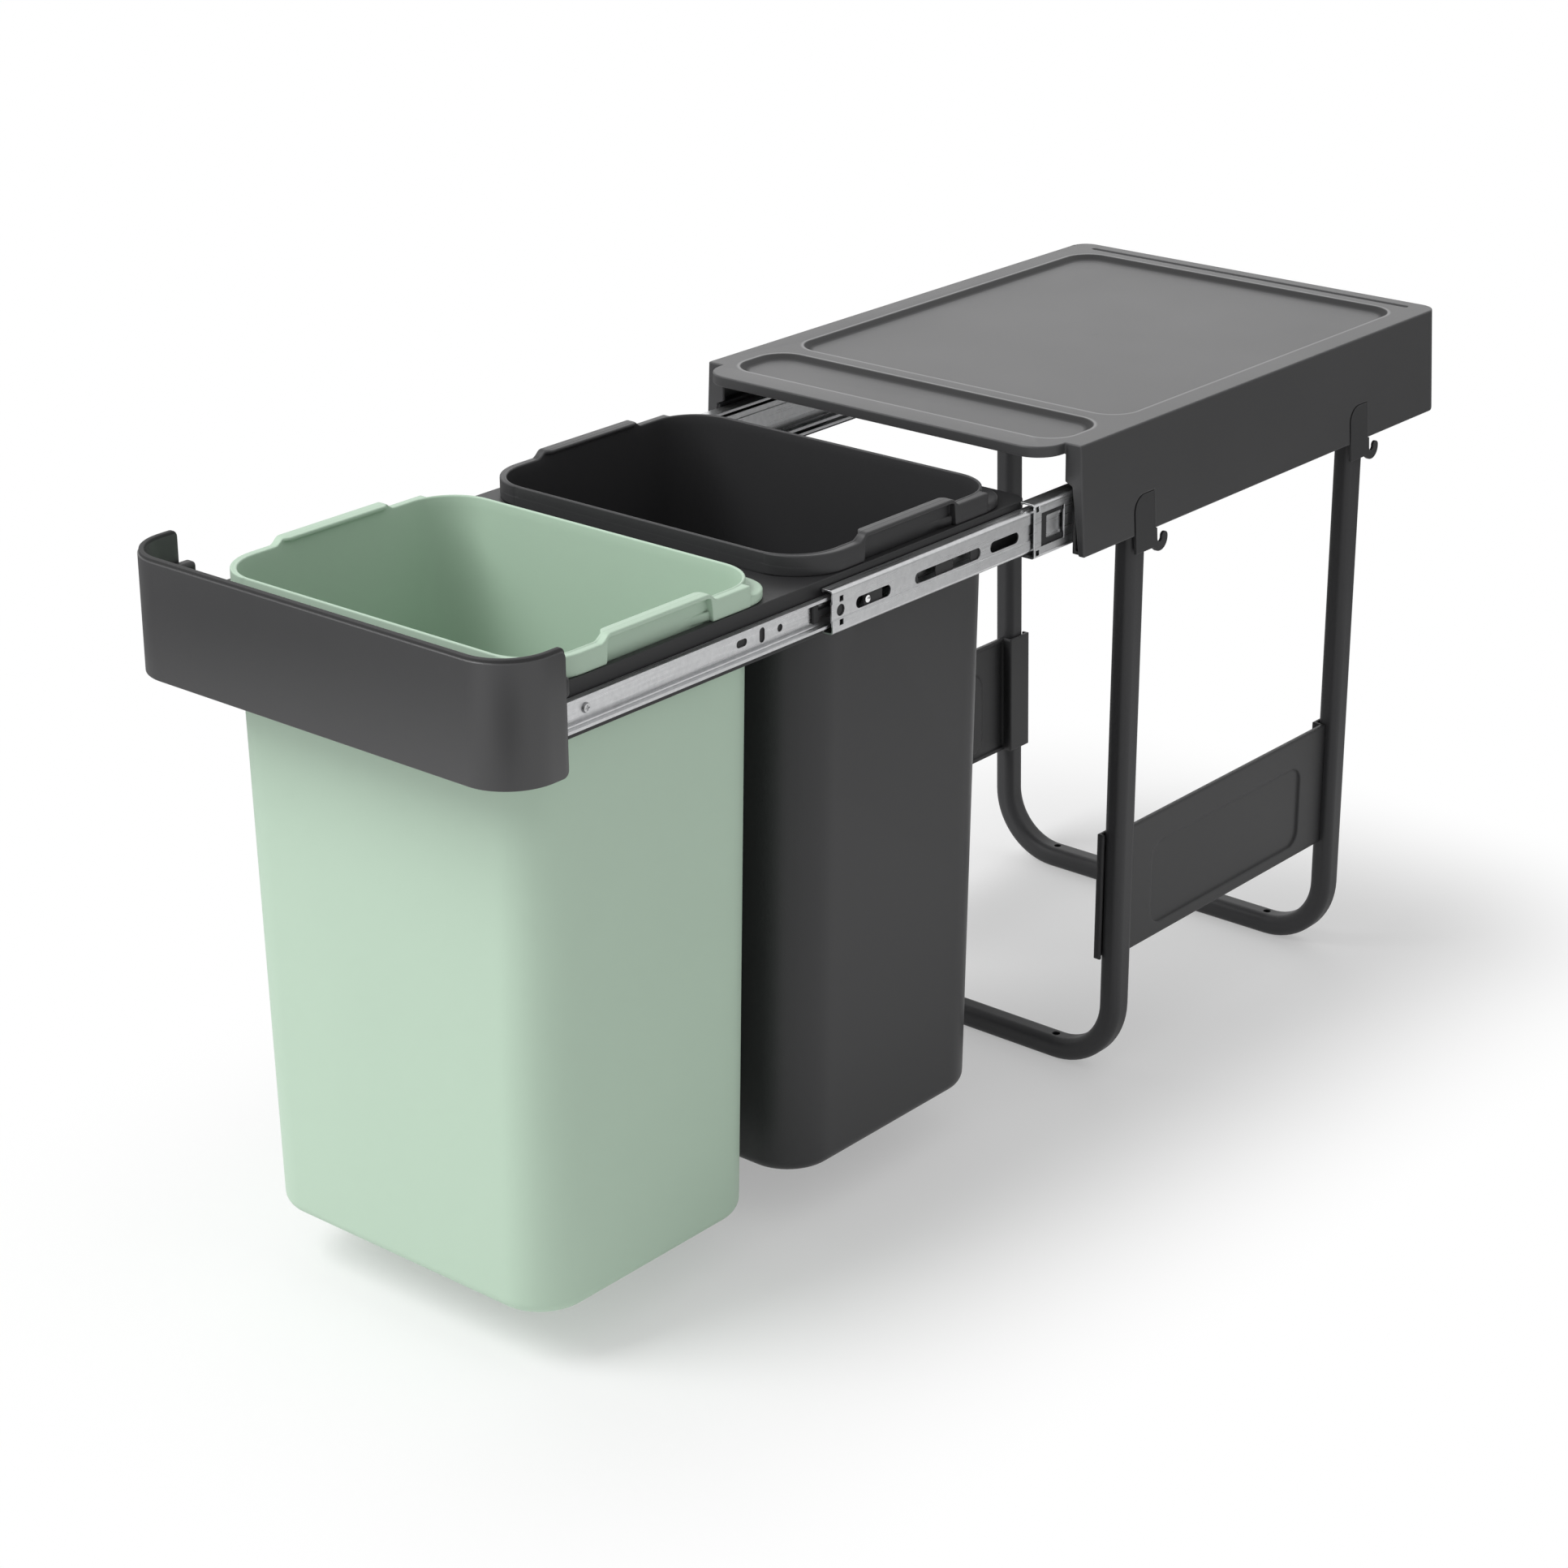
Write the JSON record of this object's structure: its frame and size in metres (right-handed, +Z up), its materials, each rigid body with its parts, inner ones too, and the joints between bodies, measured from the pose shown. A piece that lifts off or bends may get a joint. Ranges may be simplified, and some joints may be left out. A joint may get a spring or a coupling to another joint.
{
  "type": "pull out waste bin unit",
  "caption": "Pull out trash cabinet insert: lidded steel-tube stand with ball-bearing slides and a sliding carriage holding lift-out bins behind a curved front band.",
  "frame": {"origin": "on the floor, midway between the four floor screw holes in the two leg frames", "axes": "+Z up, +X to the right seen from the front, the carriage pulls out along -Y; stored pulled out as in the picture"},
  "size_m": [0.3498, 1.0315, 0.511],
  "materials": {
    "grey_plastic": "satin moulded, mid grey",
    "anthracite_plastic": "satin moulded, dark grey",
    "black_plastic": "satin moulded, black",
    "black_paint": "powder coated, near black",
    "zinc_steel": "zinc plated",
    "ball_steel": "polished",
    "green_plastic": "satin moulded, pale green"
  },
  "bodies": {
    "base": {"top_cover": "grey_plastic", "front_leg_frame": "black_paint", "rear_leg_frame": "black_paint", "side_panel_right": "anthracite_plastic", "side_panel_left": "anthracite_plastic", "leg_clip_front_right": "anthracite_plastic", "leg_clip_front_left": "anthracite_plastic", "leg_clip_rear_right": "anthracite_plastic", "leg_clip_rear_left": "anthracite_plastic", "slide_outer_right": "zinc_steel", "slide_outer_left": "zinc_steel", "cover_screws_right": "zinc_steel", "cover_screws_left": "zinc_steel"},
    "carriage": {"carriage_frame": "black_plastic", "front_band": "anthracite_plastic", "band_screws": "zinc_steel", "front_bin": "green_plastic", "rear_bin": "anthracite_plastic", "slide_inner_right": "zinc_steel", "slide_inner_left": "zinc_steel", "lever_rivet_right": "zinc_steel", "lever_rivet_left": "zinc_steel", "carriage_screws_right": "zinc_steel", "carriage_screws_left": "zinc_steel"},
    "middle_right": {"slide_middle_right": "zinc_steel"},
    "outer_cage_right": {"outer_cage_right": "black_plastic", "outer_balls_right": "ball_steel"},
    "inner_cage_right": {"inner_cage_right": "black_plastic", "inner_balls_right": "ball_steel"},
    "lever_right": {"release_lever_right": "black_plastic"},
    "middle_left": {"slide_middle_left": "zinc_steel"},
    "outer_cage_left": {"outer_cage_left": "black_plastic", "outer_balls_left": "ball_steel"},
    "inner_cage_left": {"inner_cage_left": "black_plastic", "inner_balls_left": "ball_steel"},
    "lever_left": {"release_lever_left": "black_plastic"}
  },
  "joints": [
    {"name": "carriage_slide", "type": "slide", "parent": "base", "child": "carriage", "axis": [0, 1, 0], "range_m": [0, 0.503]},
    {"name": "middle_right_slide", "type": "slide", "parent": "base", "child": "middle_right", "axis": [0, 1, 0], "range_m": [0, 0.2515]},
    {"name": "outer_cage_right_slide", "type": "slide", "parent": "base", "child": "outer_cage_right", "axis": [0, 1, 0], "range_m": [0, 0.12575]},
    {"name": "inner_cage_right_slide", "type": "slide", "parent": "base", "child": "inner_cage_right", "axis": [0, 1, 0], "range_m": [0, 0.37725]},
    {"name": "middle_left_slide", "type": "slide", "parent": "base", "child": "middle_left", "axis": [0, 1, 0], "range_m": [0, 0.2515]},
    {"name": "outer_cage_left_slide", "type": "slide", "parent": "base", "child": "outer_cage_left", "axis": [0, 1, 0], "range_m": [0, 0.12575]},
    {"name": "inner_cage_left_slide", "type": "slide", "parent": "base", "child": "inner_cage_left", "axis": [0, 1, 0], "range_m": [0, 0.37725]},
    {"name": "lever_right_turn", "type": "hinge", "parent": "carriage", "child": "lever_right", "pos_m": [0.1518, -0.4545, 0.4558], "axis": [1, 0, 0], "range_deg": [0, 6], "stiffness_Nm_per_rad": 0.02, "springref_deg": -2.86},
    {"name": "lever_left_turn", "type": "hinge", "parent": "carriage", "child": "lever_left", "pos_m": [-0.1518, -0.4545, 0.4558], "axis": [1, 0, 0], "range_deg": [0, 6], "stiffness_Nm_per_rad": 0.02, "springref_deg": -2.86}
  ],
  "couplings": [
    {"joint": "middle_right_slide", "follows": "carriage_slide", "ratio": 0.5},
    {"joint": "outer_cage_right_slide", "follows": "carriage_slide", "ratio": 0.25},
    {"joint": "inner_cage_right_slide", "follows": "carriage_slide", "ratio": 0.75},
    {"joint": "middle_left_slide", "follows": "carriage_slide", "ratio": 0.5},
    {"joint": "outer_cage_left_slide", "follows": "carriage_slide", "ratio": 0.25},
    {"joint": "inner_cage_left_slide", "follows": "carriage_slide", "ratio": 0.75}
  ]
}
